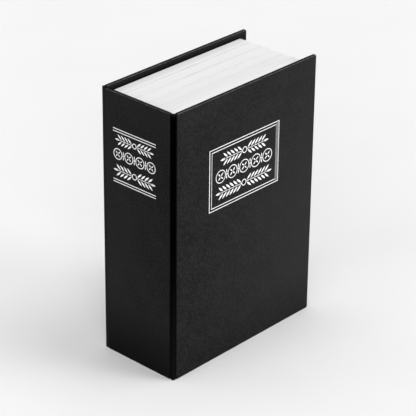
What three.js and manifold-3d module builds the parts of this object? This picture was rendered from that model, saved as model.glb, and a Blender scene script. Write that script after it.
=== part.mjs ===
// A book safe: a hardback book whose hollowed page block holds a steel box.
// The front cover opens on its joint. Behind it a steel lid swings on a piano hinge,
// and a three-dial lock on the lid throws a round bolt under the rim of the box.
//
// Millimetres, +Z up. The book stands on its tail edge, with its front cover facing -Y
// and its spine facing -X. The origin is the middle of its footprint on the table.
import * as THREE from "three";
import { mergeVertices } from "three/addons/utils/BufferGeometryUtils.js";
import Module from "manifold-3d";

const wasm = await Module();
wasm.setup();

// The whole book
const bookHeight = 170;
const bookWidth = 120;
const bookThickness = 57;

// Covered boards
const boardThickness = 2.1; // a covered board, outer face to inner face
const coveringThickness = 0.3; // the black paper round each board
const glueLine = 0.1; // between glued layers, and between parts screwed together
const coveringTurnIn = 12; // how far the covering folds over a board's inner face
const coverSetback = 2.2; // from the spine's outer face to the edge of a cover board
const spineSetback = 3; // from a cover's outer face to the edge of the spine board
const boardCornerRadius = 0.8;
const boardEdgeRadius = 0.45;
const endpaperThickness = 0.2;
const endpaperMargin = 4; // black turn-in left showing round an endpaper

// The rounded bead of covering that stands in each joint
const beadInset = 0.15; // from the book's outer faces
const beadThickness = 0.4;
const creaseGap = 0.3; // between the bead and the boards on each side of it

// Page block
const headSquare = 3.5; // how far the boards overhang the pages at head and tail
const foreEdgeSquare = 6; // and at the fore-edge
const coverGap = 0.5; // from the front board to the first page
const liningThickness = 0.3; // cloth glued down the back of the page block
const sectionCount = 6;
const sectionGap = 0.1;
const foreEdgeStagger = 0.35; // how unevenly the page sections end
const foreEdgeWave = 2.4; // the pace of that unevenness, in radians a section
const foreEdgePhase = 1;
const headStagger = 0.12;
const headWave = 1.9;
const pageCornerRadius = 0.6;

// Steel box
const boxSheet = 1;
const pagesAtSpine = 10.8; // pages left standing between the box and the spine
const pagesAtForeEdge = 7.4;
const pagesAtEnds = 7.7;
const boxClearance = 0.3; // all round, between the box and the pages
const boxCornerRadius = 2;
const rimWidth = 6.6;
const hingeRimWidth = 8.8;

// Lid
const lidThickness = 1;
const lidInset = 1; // from the outside of the box to the edge of the lid
const lidSeatGap = 0.3;
const lidCornerRadius = 2;
const slotCornerRadius = 0.5;

// Piano hinge
const pinRadius = 0.75;
const pinClearance = 0.1;
const knuckleRadius = 1.5;
const knuckleCount = 7;
const knuckleGap = 0.4;
const hingeEndMargin = 3.8; // from the ends of the box to the ends of the hinge
const leafThickness = 0.6;
const hingeInset = 6; // from the outside of the box to the pin
const leafEdgeGap = 0.2;
const leafWidthOnLid = 9.4;
const knuckleRelief = 0.3; // round each knuckle, to the other leaf and the lid
const rivetCount = 3;
const rivetInset = 20; // from the ends of the hinge to the end rivets
const rivetShankRadius = 0.8;
const rivetHeadRadius = 1.4;
const rivetInnerHeadRadius = 1.25;
const rivetHeadHeight = 0.6;
const rivetHeadEdge = 0.2;
const rivetInnerHeadHeight = 0.36;
const rivetClearance = 0.05;

// Number dials and the sleeves inside them
const dialCount = 3;
const dialFaces = 10;
const dialRadius = 7.8;
const dialWidth = 3.8;
const dialPitch = 6;
const dialProud = 1.7; // how far a dial stands out of its slot
const dialRecess = 0.9; // from the first page down to the dials
const dialNotchDepth = 0.5;
const dialNotchWidth = 0.8; // at the rim, and half of it at the bottom
const dialRunning = 0.3; // round a dial, to its slot and its window
const sleeveRadius = 3.6;
const sleeveClearance = 0.12;
const keyWidth = 1.2; // the keys on the bolt that pass through the sleeves
const keyHeight = 0.85;
const keyClearance = 0.15;
const keyEndClearance = 0.4; // between a key and the sleeves on each side of it

// Bolt and thumb slide
const boltRadius = 2;
const boltRunning = 0.15;
const boltPastHousing = 0.4;
const boltNoseChamfer = 0.5;
const carrierLength = 4;
const carrierWidth = 6.4;
const carrierDepth = 3.2; // from the bolt's axis into the box
const carrierClearance = 0.3;
const stemLength = 2.8; // along the travel
const stemWidth = 3.8;
const stemClearance = 0.4;
const slideLength = 6.4;
const slideWidth = 10;
const slideHeight = 1.6;
const slideCornerRadius = 1.6;
const slideGrooves = 4;
const slideGrooveDepth = 0.4;
const slideGrooveWidth = 0.9;
const slideGrooveMargin = 0.6; // from the outer grooves to the ends of the slide
const rollPinRadius = 0.5;
const rollPinClearance = 0.05;
const pegRadius = 1;
const pegDepth = 0.8; // how far the carrier's peg goes into the slide
const pegClearance = 0.05;

// Lock case
const escutcheonThickness = 1.2;
const escutcheonOverhang = 3.1; // past each end of the housing
const escutcheonSideMargin = 0.6; // past the screw bosses
const escutcheonCornerRadius = 3;
const housingWall = 1.2;
const housingFloor = 1;
const housingSideGap = 0.7; // from a dial to the housing's side wall
const housingToRim = 1.8; // so that the lid can swing out past the rim
const springThickness = 0.4;
const springGap = 0.3; // from the dials to the detent spring
const springFingerWidth = 2.6;
const springFingerPastAxis = 2.6; // how far a finger reaches past the dials' axis
const springRootWidth = 3;
const springPegRadius = 0.5;
const screwRadius = 1;
const screwPointRadius = 0.6;
const screwHeadRadius = 1.9;
const screwHeadHeight = 1.1;
const screwCrownRadius = 1.3;
const screwCrownHeight = 0.4;
const screwSlotWidth = 0.5;
const screwSlotDepth = 0.5;
const screwClearance = 0.1;
const screwHoleFloor = 0.4; // left in the escutcheon in front of a screw's point
const screwInset = 4; // from the housing's ends
const earWidth = 4.4;
const earThickness = 1.6;
const bossRadius = 1.7;
const bossClearance = 0.25;

// How finely round things are drawn
const roundSegments = 28;
const smallSegments = 16;
const cornerSegments = 4;
const edgeSegments = 2;
const beadSegments = 8;
const throughCut = 1; // how far a cutting shape reaches past what it cuts

const looks = {
  covering: { color: 0x1f1f1e, roughness: 0.62, metalness: 0 },
  board: { color: 0x8d8271, roughness: 0.95, metalness: 0 },
  endpaper: { color: 0x2a2a2a, roughness: 0.9, metalness: 0 },
  pages: { color: 0xe9e8e4, roughness: 0.92, metalness: 0 },
  lining: { color: 0xcfc7b4, roughness: 0.95, metalness: 0 },
  boxPaint: { color: 0x161718, roughness: 0.5, metalness: 0.1 },
  steel: { color: 0xb4b6b8, roughness: 0.32, metalness: 1 },
  lockCase: { color: 0x1b1c1e, roughness: 0.45, metalness: 0 },
  dials: { color: 0x23262a, roughness: 0.4, metalness: 0 },
  brass: { color: 0xb08d4f, roughness: 0.35, metalness: 1 },
};

// The covered boards, as boxes in the book
const spineFace = -bookWidth / 2;
const foreEdge = bookWidth / 2;
const frontFace = -bookThickness / 2;
const backFace = bookThickness / 2;
const middleZ = bookHeight / 2;

const frontBox = {
  x: [spineFace + coverSetback, foreEdge],
  y: [frontFace, frontFace + boardThickness],
  z: [0, bookHeight],
};
const backBox = {
  x: [spineFace + coverSetback, foreEdge],
  y: [backFace - boardThickness, backFace],
  z: [0, bookHeight],
};
const spineBox = {
  x: [spineFace, spineFace + boardThickness],
  y: [frontFace + spineSetback, backFace - spineSetback],
  z: [0, bookHeight],
};

// The page block between them
const liningStart = spineBox.x[1] + glueLine;
const frontPaperStart = frontBox.y[1] + glueLine;
const backPaperStart = backBox.y[0] - glueLine - endpaperThickness;
const pages = {
  x: [liningStart + liningThickness + glueLine, foreEdge - foreEdgeSquare],
  y: [frontBox.y[1] + coverGap, backPaperStart - glueLine],
  z: [headSquare, bookHeight - headSquare],
};

// The steel box, and the levels of its rim and its lid
const boxOuter = {
  x: [pages.x[0] + pagesAtSpine, pages.x[1] - pagesAtForeEdge],
  z: [pages.z[0] + pagesAtEnds, pages.z[1] - pagesAtEnds],
};
const escutcheonFace = pages.y[0] + dialRecess + dialProud;
const escutcheonBack = escutcheonFace + escutcheonThickness;
const lidFace = escutcheonBack + glueLine;
const lidInnerFace = lidFace + lidThickness;
const rimFace = lidInnerFace + lidSeatGap;
const rimInnerFace = rimFace + boxSheet;
const mouth = {
  x: [boxOuter.x[0] + hingeRimWidth, boxOuter.x[1] - rimWidth],
  z: [boxOuter.z[0] + rimWidth, boxOuter.z[1] - rimWidth],
};

// The hinge
const pinX = boxOuter.x[0] + hingeInset;
const pinY = rimFace - glueLine - knuckleRadius - glueLine;
const boxLeafY = [rimFace - glueLine - leafThickness, rimFace - glueLine];
const lidLeafY = [lidFace - glueLine - leafThickness, lidFace - glueLine];
const hingeZ = [boxOuter.z[0] + hingeEndMargin, boxOuter.z[1] - hingeEndMargin];
const knuckleLength = (hingeZ[1] - hingeZ[0]) / knuckleCount;
const knuckleReach = knuckleRadius + knuckleRelief;
const boxLeafX = [boxOuter.x[0] + leafEdgeGap, pinX - knuckleReach];
const lidLeafX = [pinX + knuckleReach, pinX + leafWidthOnLid];
const boxRivetX = (boxOuter.x[0] + boxSheet + boxLeafX[1]) / 2;
const lidRivetX = (mouth.x[0] + lidLeafX[1]) / 2;
const rivetHole = rivetShankRadius + rivetClearance;
const rivetZ = spread(rivetCount, hingeZ[0] + rivetInset, hingeZ[1] - rivetInset);

// The lock, laid out from the rim back towards the hinge
const dialAxisY = escutcheonFace - dialProud + dialRadius;
const dialGap = dialPitch - dialWidth;
const boltTravel = dialPitch;
const housingEnd = mouth.x[1] - housingToRim;
const slideRoomEnd = housingEnd - housingWall;
const carrierX = slideRoomEnd - carrierClearance - boltTravel - carrierLength / 2;
const slideRoomStart = carrierX - carrierLength / 2 - carrierClearance;
const dialRoomEnd = slideRoomStart - housingWall;
const lastDialX = dialRoomEnd - dialGap - dialWidth / 2;
const firstDialX = lastDialX - (dialCount - 1) * dialPitch;
const dialRoomStart = firstDialX - dialWidth / 2 - dialGap;
const housingStart = dialRoomStart - housingWall;
const dialX = spread(dialCount, firstDialX, lastDialX);
const boltTip = housingEnd + boltPastHousing;
const stemSlotX = [
  carrierX - stemLength / 2 - stemClearance,
  carrierX + boltTravel + stemLength / 2 + stemClearance,
];
const stemSlotZ = around(middleZ, stemWidth / 2 + stemClearance);

// The lock's housing, its screws and the detent spring
const housingHalfWidth = dialRadius + housingSideGap + housingWall;
const roomZ = around(middleZ, housingHalfWidth - housingWall);
const springFace = dialAxisY + dialRadius + springGap;
const springBack = springFace + springThickness;
const housingFace = lidInnerFace + glueLine;
const housingFloorFace = springBack + glueLine;
const housingBack = housingFloorFace + housingFloor;
const earFace = housingFace + earThickness;
const screwReach = housingHalfWidth + earWidth / 2;
const screwPlaces = [housingStart + screwInset, housingEnd - screwInset].flatMap((x) =>
  around(middleZ, screwReach).map((z) => [x, z]),
);
const springPegZ = roomZ[1] - springRootWidth / 2;
const springPegs = [
  [firstDialX + dialPitch / 2, springPegZ],
  [lastDialX - dialPitch / 2, springPegZ],
];

// Ranges and places
function spread(count, first, last) {
  const step = count > 1 ? (last - first) / (count - 1) : 0;
  return Array.from({ length: count }, (_, i) => first + i * step);
}

function around(middle, half) {
  return [middle - half, middle + half];
}

function grown(range, by) {
  return [range[0] - by, range[1] + by];
}

// The slot that a dial needs where a level cuts it, with its running gap
function dialSlotZ(y) {
  const halfChord = Math.sqrt(dialRadius ** 2 - (dialAxisY - y) ** 2);
  return around(middleZ, halfChord + dialRunning);
}

// Solids and meshes
function toSolid(geometry) {
  const bare = new THREE.BufferGeometry();
  const flat = geometry.index ? geometry.toNonIndexed() : geometry;
  bare.setAttribute("position", flat.getAttribute("position"));
  const merged = mergeVertices(bare, 1e-4);
  return new wasm.Manifold(
    new wasm.Mesh({
      numProp: 3,
      vertProperties: merged.getAttribute("position").array,
      triVerts: new Uint32Array(merged.index.array),
    }),
  );
}

function toGeometry(solid) {
  const mesh = solid.getMesh();
  const geometry = new THREE.BufferGeometry();
  geometry.setAttribute("position", new THREE.BufferAttribute(mesh.vertProperties, 3));
  geometry.setIndex(new THREE.BufferAttribute(mesh.triVerts, 1));
  return geometry;
}

// One geometry from several that meet, and from one with others cut out of it
function joined(...geometries) {
  return toGeometry(geometries.map(toSolid).reduce((whole, solid) => whole.add(solid)));
}

function cut(...geometries) {
  return toGeometry(geometries.map(toSolid).reduce((left, tool) => left.subtract(tool)));
}

function named(name, geometry, look) {
  const made = new THREE.Mesh(geometry, new THREE.MeshStandardMaterial(looks[look]));
  made.name = name;
  return made;
}

// Turns a shape drawn in Y and Z, and extruded along Z, so that it runs along X
const yzAlongX = new THREE.Matrix4().makeBasis(
  new THREE.Vector3(0, 1, 0),
  new THREE.Vector3(0, 0, 1),
  new THREE.Vector3(1, 0, 0),
);

// Extrudes a shape along one axis over a range. The shape is drawn in the other two axes,
// in their order X, Y, Z.
function extruded(shape, axis, range, curveSegments = cornerSegments) {
  const depth = range[1] - range[0];
  const geometry = new THREE.ExtrudeGeometry(shape, { depth, bevelEnabled: false, curveSegments });
  if (axis === "x") {
    return geometry.applyMatrix4(yzAlongX).translate(range[0], 0, 0);
  }
  if (axis === "y") {
    return geometry.rotateX(Math.PI / 2).translate(0, range[1], 0);
  }
  return geometry.translate(0, 0, range[0]);
}

function cuboid(x, y, z) {
  const geometry = new THREE.BoxGeometry(x[1] - x[0], y[1] - y[0], z[1] - z[0]);
  return geometry.translate((x[0] + x[1]) / 2, (y[0] + y[1]) / 2, (z[0] + z[1]) / 2);
}

// A round bar along an axis over a range, at a place in the other two axes
function bar(axis, radius, range, place = [0, 0], segments = smallSegments) {
  const geometry = new THREE.CylinderGeometry(radius, radius, range[1] - range[0], segments);
  const middle = (range[0] + range[1]) / 2;
  if (axis === "x") {
    return geometry.rotateZ(-Math.PI / 2).translate(middle, place[0], place[1]);
  }
  if (axis === "y") {
    return geometry.translate(place[0], middle, place[1]);
  }
  return geometry.rotateX(Math.PI / 2).translate(place[0], place[1], middle);
}

// A turned piece standing along Y, from a profile of radii and levels
function turnedAlongY(profile) {
  const points = profile.map(([radius, y]) => new THREE.Vector2(radius, y));
  return new THREE.LatheGeometry(points, smallSegments);
}

// A rectangle with round corners, as a Shape or as a Path for a hole
function rounded(Kind, u, v, radius) {
  const outline = new Kind();
  outline.moveTo(u[0] + radius, v[0]);
  outline.lineTo(u[1] - radius, v[0]);
  outline.absarc(u[1] - radius, v[0] + radius, radius, -Math.PI / 2, 0);
  outline.lineTo(u[1], v[1] - radius);
  outline.absarc(u[1] - radius, v[1] - radius, radius, 0, Math.PI / 2);
  outline.lineTo(u[0] + radius, v[1]);
  outline.absarc(u[0] + radius, v[1] - radius, radius, Math.PI / 2, Math.PI);
  outline.lineTo(u[0], v[0] + radius);
  outline.absarc(u[0] + radius, v[0] + radius, radius, Math.PI, 1.5 * Math.PI);
  return outline;
}

function roundHole(place, radius) {
  const hole = new THREE.Path();
  hole.absarc(place[0], place[1], radius, 0, 2 * Math.PI);
  return hole;
}

function closedThrough(Kind, places) {
  const outline = new Kind();
  outline.setFromPoints(places.map(([u, v]) => new THREE.Vector2(u, v)));
  outline.closePath();
  return outline;
}

// A polygon with one side for each number on a dial, one of them facing -Y
function dialPolygon(Kind, radius) {
  const places = [];
  for (let i = 0; i < dialFaces; i += 1) {
    const angle = Math.PI + ((i + 0.5) * 2 * Math.PI) / dialFaces;
    places.push([radius * Math.cos(angle), radius * Math.sin(angle)]);
  }
  return closedThrough(Kind, places);
}

// The outside of a covered board: a slab with round corners and round edges.
// thin is the axis of its thickness, "x" or "y".
function coveredSlab(box, thin) {
  const outline = rounded(
    THREE.Shape,
    grown(thin === "y" ? box.x : box.y, -boardEdgeRadius),
    grown(box.z, -boardEdgeRadius),
    boardCornerRadius - boardEdgeRadius,
  );
  const flat = grown(box[thin], -boardEdgeRadius);
  const geometry = new THREE.ExtrudeGeometry(outline, {
    depth: flat[1] - flat[0],
    bevelEnabled: true,
    bevelThickness: boardEdgeRadius,
    bevelSize: boardEdgeRadius,
    bevelSegments: edgeSegments,
    curveSegments: edgeSegments,
  });
  if (thin === "y") {
    return geometry.rotateX(Math.PI / 2).translate(0, flat[1], 0);
  }
  return geometry.applyMatrix4(yzAlongX).translate(flat[0], 0, 0);
}

// The covering round a board: a skin that turns in over the board's inner face.
// inwards is the direction of the pages along the thin axis, 1 or -1.
function covering(box, thin, inwards) {
  const hollow = {};
  const opening = {};
  for (const axis of ["x", "y", "z"]) {
    hollow[axis] = grown(box[axis], -coveringThickness);
    opening[axis] = grown(box[axis], -coveringTurnIn);
  }
  const middle = (box[thin][0] + box[thin][1]) / 2;
  const beyond = middle + inwards * (boardThickness / 2 + throughCut);
  opening[thin] = [Math.min(middle, beyond), Math.max(middle, beyond)];
  return cut(
    coveredSlab(box, thin),
    cuboid(hollow.x, hollow.y, hollow.z),
    cuboid(opening.x, opening.y, opening.z),
  );
}

function boardInside(box) {
  const inset = -(coveringThickness + glueLine);
  return cuboid(grown(box.x, inset), grown(box.y, inset), grown(box.z, inset));
}

// The bead at a joint: in plan, an arc of covering from the spine board round the book's
// corner to the cover board. side is -1 for the front joint and 1 for the back one.
function jointBead(side) {
  const radius = (spineSetback - beadInset) / 2;
  const x = spineFace + beadInset + radius;
  const y = frontFace + beadInset + radius;
  const toSpine = (spineBox.y[0] - creaseGap - y) / radius;
  const toCover = (frontBox.x[0] - creaseGap - x) / radius;
  const first = Math.PI - Math.asin(THREE.MathUtils.clamp(toSpine, -1, 1));
  const last = 1.5 * Math.PI + Math.asin(THREE.MathUtils.clamp(toCover, -1, 1));
  const outer = [];
  const inner = [];
  for (const angle of spread(beadSegments + 1, first, last)) {
    const way = [Math.cos(angle), Math.sin(angle)];
    outer.push([x + radius * way[0], -side * (y + radius * way[1])]);
    const inside = radius - beadThickness;
    inner.unshift([x + inside * way[0], -side * (y + inside * way[1])]);
  }
  const outline = closedThrough(THREE.Shape, [...outer, ...inner]);
  return extruded(outline, "z", [glueLine, bookHeight - glueLine]);
}

function endpaper(start) {
  const x = [pages.x[0] + endpaperMargin, foreEdge - endpaperMargin];
  return cuboid(x, [start, start + endpaperThickness], [endpaperMargin, bookHeight - endpaperMargin]);
}

function spineLining() {
  return cuboid([liningStart, liningStart + liningThickness], pages.y, pages.z);
}

// One section of pages, die-cut to go round the steel box
function pageSection(index) {
  const gaps = (sectionCount - 1) * sectionGap;
  const depth = (pages.y[1] - pages.y[0] - gaps) / sectionCount;
  const start = pages.y[0] + index * (depth + sectionGap);
  const foreEdgeShift = foreEdgeStagger * Math.sin(foreEdgeWave * index + foreEdgePhase);
  const headShift = headStagger * Math.cos(headWave * index);
  const outline = rounded(
    THREE.Shape,
    [pages.x[0], pages.x[1] + foreEdgeShift],
    grown(pages.z, headShift),
    pageCornerRadius,
  );
  const holeX = grown(boxOuter.x, boxClearance);
  const holeZ = grown(boxOuter.z, boxClearance);
  outline.holes.push(rounded(THREE.Path, holeX, holeZ, boxCornerRadius));
  return extruded(outline, "y", [start, start + depth]);
}

// The steel box: five sheet walls and a rim turned in round its mouth
function boxTray() {
  const outside = rounded(THREE.Shape, boxOuter.x, boxOuter.z, boxCornerRadius);
  const inside = rounded(
    THREE.Shape,
    grown(boxOuter.x, -boxSheet),
    grown(boxOuter.z, -boxSheet),
    boxCornerRadius - boxSheet,
  );
  const opening = rounded(THREE.Shape, mouth.x, mouth.z, boxCornerRadius);
  const throughRim = grown([rimFace, rimInnerFace], throughCut);
  return cut(
    extruded(outside, "y", [rimFace, pages.y[1]]),
    extruded(inside, "y", [rimInnerFace, pages.y[1] - boxSheet]),
    extruded(opening, "y", throughRim),
    ...rivetZ.map((z) => bar("y", rivetHole, throughRim, [boxRivetX, z])),
  );
}

function lidPlate() {
  const outline = rounded(
    THREE.Shape,
    [lidLeafX[0], boxOuter.x[1] - lidInset],
    grown(boxOuter.z, -lidInset),
    lidCornerRadius,
  );
  const dialsX = [
    firstDialX - dialWidth / 2 - dialRunning,
    lastDialX + dialWidth / 2 + dialRunning,
  ];
  outline.holes.push(rounded(THREE.Path, dialsX, dialSlotZ(lidInnerFace), slotCornerRadius));
  outline.holes.push(rounded(THREE.Path, stemSlotX, stemSlotZ, slotCornerRadius));
  for (const place of screwPlaces) {
    outline.holes.push(roundHole(place, bossRadius + bossClearance));
  }
  for (const z of rivetZ) {
    outline.holes.push(roundHole([lidRivetX, z], rivetHole));
  }
  return extruded(outline, "y", [lidFace, lidInnerFace]);
}

// A leaf of the piano hinge with its knuckles, which alternate with the other leaf's.
// first is the number of its first knuckle, and tabX joins the knuckles to the flat.
function hingeLeaf(first, flatX, tabX, y, rivetX) {
  const pieces = [cuboid(flatX, y, hingeZ)];
  for (let i = first; i < knuckleCount; i += 2) {
    const start = hingeZ[0] + i * knuckleLength;
    const z = grown([start, start + knuckleLength], -knuckleGap / 2);
    pieces.push(cuboid(tabX, y, z));
    pieces.push(bar("z", knuckleRadius, z, [pinX, pinY]));
  }
  return cut(
    joined(...pieces),
    bar("z", pinRadius + pinClearance, grown(hingeZ, throughCut), [pinX, pinY]),
    ...rivetZ.map((z) => bar("y", rivetHole, grown(y, throughCut), [rivetX, z])),
  );
}

function hingePin() {
  return bar("z", pinRadius, grown(hingeZ, pinRadius), [pinX, pinY]);
}

// A rivet along Y through a leaf and the sheet behind it
function rivet(x, z, y) {
  const outer = y[0] - glueLine;
  const inner = y[1] + glueLine;
  const profile = [
    [0, outer - rivetHeadHeight],
    [rivetShankRadius, outer - rivetHeadHeight],
    [rivetHeadRadius, outer - rivetHeadEdge],
    [rivetHeadRadius, outer],
    [rivetShankRadius, outer],
    [rivetShankRadius, inner],
    [rivetInnerHeadRadius, inner],
    [rivetInnerHeadRadius, inner + rivetInnerHeadHeight],
    [0, inner + rivetInnerHeadHeight],
  ];
  return turnedAlongY(profile).translate(x, 0, z);
}

// A ring of flat number faces with a notch between each two, round the X axis
function numberDial() {
  const places = [];
  const half = Math.asin(dialNotchWidth / 2 / dialRadius);
  const bottomRadius = dialRadius - dialNotchDepth;
  for (let i = 0; i < dialFaces; i += 1) {
    const middle = Math.PI + ((i + 0.5) * 2 * Math.PI) / dialFaces;
    for (const [radius, angle] of [
      [dialRadius, middle - half],
      [bottomRadius, middle - half / 2],
      [bottomRadius, middle + half / 2],
      [dialRadius, middle + half],
    ]) {
      places.push([radius * Math.cos(angle), radius * Math.sin(angle)]);
    }
  }
  const outline = closedThrough(THREE.Shape, places);
  outline.holes.push(dialPolygon(THREE.Path, sleeveRadius + sleeveClearance));
  return extruded(outline, "x", around(0, dialWidth / 2));
}

// The sleeve that turns with a dial. The bolt runs in its bore, and its keyway lets a key
// on the bolt pass only when the dial stands at its number of the code.
function dialSleeve() {
  const width = around(0, dialWidth / 2);
  const through = grown(width, throughCut);
  const keyway = [0, boltRadius + keyHeight + keyClearance];
  return cut(
    extruded(dialPolygon(THREE.Shape, sleeveRadius), "x", width),
    bar("x", boltRadius + boltRunning, through, [0, 0], roundSegments),
    cuboid(through, keyway, around(0, keyWidth / 2 + keyClearance)),
  );
}

// The bolt: a round bar with a key beside each dial's sleeve and a chamfered nose.
// It is drawn round the X axis, as are the three pieces that slide with it.
function lockBolt() {
  const bodyEnd = boltTip - boltNoseChamfer;
  const body = bar("x", boltRadius, [housingStart + housingWall / 2, bodyEnd], [0, 0], roundSegments);
  const nose = new THREE.CylinderGeometry(
    boltRadius - boltNoseChamfer,
    boltRadius,
    boltNoseChamfer,
    roundSegments,
  );
  nose.rotateZ(-Math.PI / 2).translate(bodyEnd + boltNoseChamfer / 2, 0, 0);
  const keyHalfLength = dialGap / 2 - keyEndClearance;
  const keys = dialX.map((x) =>
    cuboid(
      around(x - dialPitch / 2, keyHalfLength),
      [0, boltRadius + keyHeight],
      around(0, keyWidth / 2),
    ),
  );
  const pinHole = bar(
    "z",
    rollPinRadius + rollPinClearance,
    around(0, boltRadius + throughCut),
    [carrierX, 0],
  );
  return cut(joined(body, nose, ...keys), pinHole);
}

// The carrier: a block pinned round the bolt, with a neck and a peg up to the thumb slide
function slideCarrier() {
  const x = around(carrierX, carrierLength / 2);
  const blockTop = housingFace - dialAxisY + carrierClearance;
  const neckTop = escutcheonFace - dialAxisY + glueLine;
  const pegTop = escutcheonFace - dialAxisY - pegDepth;
  return cut(
    joined(
      cuboid(x, [blockTop, carrierDepth], around(0, carrierWidth / 2)),
      cuboid(around(carrierX, stemLength / 2), [neckTop, 0], around(0, stemWidth / 2)),
      bar("y", pegRadius, [pegTop, 0], [carrierX, 0]),
    ),
    bar("x", boltRadius + glueLine, grown(x, throughCut), [0, 0], roundSegments),
    bar(
      "z",
      rollPinRadius + rollPinClearance,
      around(0, carrierWidth / 2 + throughCut),
      [carrierX, 0],
    ),
  );
}

function carrierPin() {
  return bar("z", rollPinRadius, around(0, carrierWidth / 2 - rollPinClearance), [carrierX, 0]);
}

// The thumb piece outside the lock, with grip grooves across it
function thumbSlide() {
  const base = escutcheonFace - dialAxisY - glueLine;
  const top = base - slideHeight;
  const outline = rounded(
    THREE.Shape,
    around(carrierX, slideLength / 2),
    around(0, slideWidth / 2),
    slideCornerRadius,
  );
  const grooveReach = slideLength / 2 - slideGrooveMargin - slideGrooveWidth / 2;
  const grooves = spread(slideGrooves, carrierX - grooveReach, carrierX + grooveReach).map((x) =>
    cuboid(
      around(x, slideGrooveWidth / 2),
      [top - throughCut, top + slideGrooveDepth],
      around(0, slideWidth / 2 - slideCornerRadius),
    ),
  );
  const socketTop = escutcheonFace - dialAxisY - pegDepth - glueLine;
  return cut(
    extruded(outline, "y", [top, base]),
    ...grooves,
    bar("y", pegRadius + pegClearance, [socketTop, base + throughCut], [carrierX, 0]),
  );
}

// The plate on the lid that the dials stand through, with a boss behind for each screw
function lockEscutcheon() {
  const outline = rounded(
    THREE.Shape,
    grown([housingStart, housingEnd], escutcheonOverhang),
    around(middleZ, screwReach + bossRadius + escutcheonSideMargin),
    escutcheonCornerRadius,
  );
  for (const x of dialX) {
    const slotX = around(x, dialWidth / 2 + dialRunning);
    outline.holes.push(rounded(THREE.Path, slotX, dialSlotZ(escutcheonBack), slotCornerRadius));
  }
  outline.holes.push(rounded(THREE.Path, stemSlotX, stemSlotZ, slotCornerRadius));
  const bossY = [escutcheonBack - glueLine, lidInnerFace - glueLine];
  const pilotY = [escutcheonFace + screwHoleFloor, lidInnerFace + throughCut];
  return cut(
    joined(
      extruded(outline, "y", [escutcheonFace, escutcheonBack]),
      ...screwPlaces.map((place) => bar("y", bossRadius, bossY, place)),
    ),
    ...screwPlaces.map((place) => bar("y", screwRadius + screwClearance, pilotY, place)),
  );
}

// The housing behind the lid: a room for the dials and one for the carrier, cross walls
// that guide the bolt, an ear for each screw and two pegs for the detent spring
function lockHousing() {
  const deep = [housingFace - throughCut, housingFloorFace];
  const earThrough = grown([housingFace, earFace], throughCut);
  const shell = cut(
    cuboid([housingStart, housingEnd], [housingFace, housingBack], around(middleZ, housingHalfWidth)),
    cuboid([dialRoomStart, dialRoomEnd], deep, roomZ),
    cuboid([slideRoomStart, slideRoomEnd], deep, roomZ),
    bar(
      "x",
      boltRadius + boltRunning,
      grown([housingStart, housingEnd], throughCut),
      [dialAxisY, middleZ],
      roundSegments,
    ),
  );
  const ears = screwPlaces.map(([x, z]) => {
    const side = Math.sign(z - middleZ);
    const ends = [housingHalfWidth - housingWall / 2, housingHalfWidth + earWidth];
    const earZ = ends.map((reach) => middleZ + side * reach).sort((a, b) => a - b);
    return cuboid(around(x, earWidth / 2), [housingFace, earFace], earZ);
  });
  const pegY = [springFace, housingFloorFace + glueLine];
  return cut(
    joined(shell, ...ears, ...springPegs.map((place) => bar("y", springPegRadius, pegY, place))),
    ...screwPlaces.map((place) => bar("y", screwRadius + screwClearance, earThrough, place)),
  );
}

// A flat comb of spring steel: a finger under each dial, and a root held on two pegs
function detentSpring() {
  const tip = middleZ - springFingerPastAxis;
  const root = roomZ[1] - springRootWidth;
  const top = roomZ[1] - glueLine;
  const places = [];
  dialX.forEach((x) => {
    const [left, right] = around(x, springFingerWidth / 2);
    places.push([left, root], [left, tip], [right, tip], [right, root]);
  });
  places[0] = [places[0][0], top];
  places[places.length - 1] = [places[places.length - 1][0], top];
  const outline = closedThrough(THREE.Shape, places);
  for (const place of springPegs) {
    outline.holes.push(roundHole(place, springPegRadius + pegClearance));
  }
  return extruded(outline, "y", [springFace, springBack]);
}

// A pan-head screw along Y, driven from inside the box
function lockScrew(place) {
  const head = earFace + glueLine;
  const top = head + screwHeadHeight;
  const tip = escutcheonFace + screwHoleFloor + glueLine;
  const profile = [
    [0, tip],
    [screwPointRadius, tip],
    [screwRadius, tip + screwPointRadius],
    [screwRadius, head],
    [screwHeadRadius, head],
    [screwHeadRadius, top - screwCrownHeight],
    [screwCrownRadius, top],
    [0, top],
  ];
  const slotX = around(0, screwHeadRadius + throughCut);
  const slotY = [top - screwSlotDepth, top + throughCut];
  const slot = cuboid(slotX, slotY, around(0, screwSlotWidth / 2));
  return cut(turnedAlongY(profile), slot).translate(place[0], 0, place[1]);
}

// The body of the book, with the steel box in it
const bookCase = new THREE.Group();
bookCase.add(
  named("back_board", boardInside(backBox), "board"),
  named("back_cover_wrap", covering(backBox, "y", -1), "covering"),
  named("spine_board", boardInside(spineBox), "board"),
  named("spine_wrap", covering(spineBox, "x", 1), "covering"),
  named("back_joint", jointBead(1), "covering"),
  named("front_joint", jointBead(-1), "covering"),
  named("back_endpaper", endpaper(backPaperStart), "endpaper"),
  named("spine_lining", spineLining(), "lining"),
);
for (let i = 0; i < sectionCount; i += 1) {
  bookCase.add(named(`page_section_${i + 1}`, pageSection(i), "pages"));
}
bookCase.add(
  named("box_tray", boxTray(), "boxPaint"),
  named("hinge_leaf_box", hingeLeaf(0, boxLeafX, [boxLeafX[1], pinX], boxLeafY, boxRivetX), "steel"),
  named("hinge_pin", hingePin(), "steel"),
);
rivetZ.forEach((z, i) => {
  const made = rivet(boxRivetX, z, [boxLeafY[0], rimInnerFace]);
  bookCase.add(named(`hinge_rivet_box_${i + 1}`, made, "steel"));
});

// The front cover
const frontCover = new THREE.Group();
frontCover.add(
  named("front_board", boardInside(frontBox), "board"),
  named("front_cover_wrap", covering(frontBox, "y", 1), "covering"),
  named("front_endpaper", endpaper(frontPaperStart), "endpaper"),
);

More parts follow.
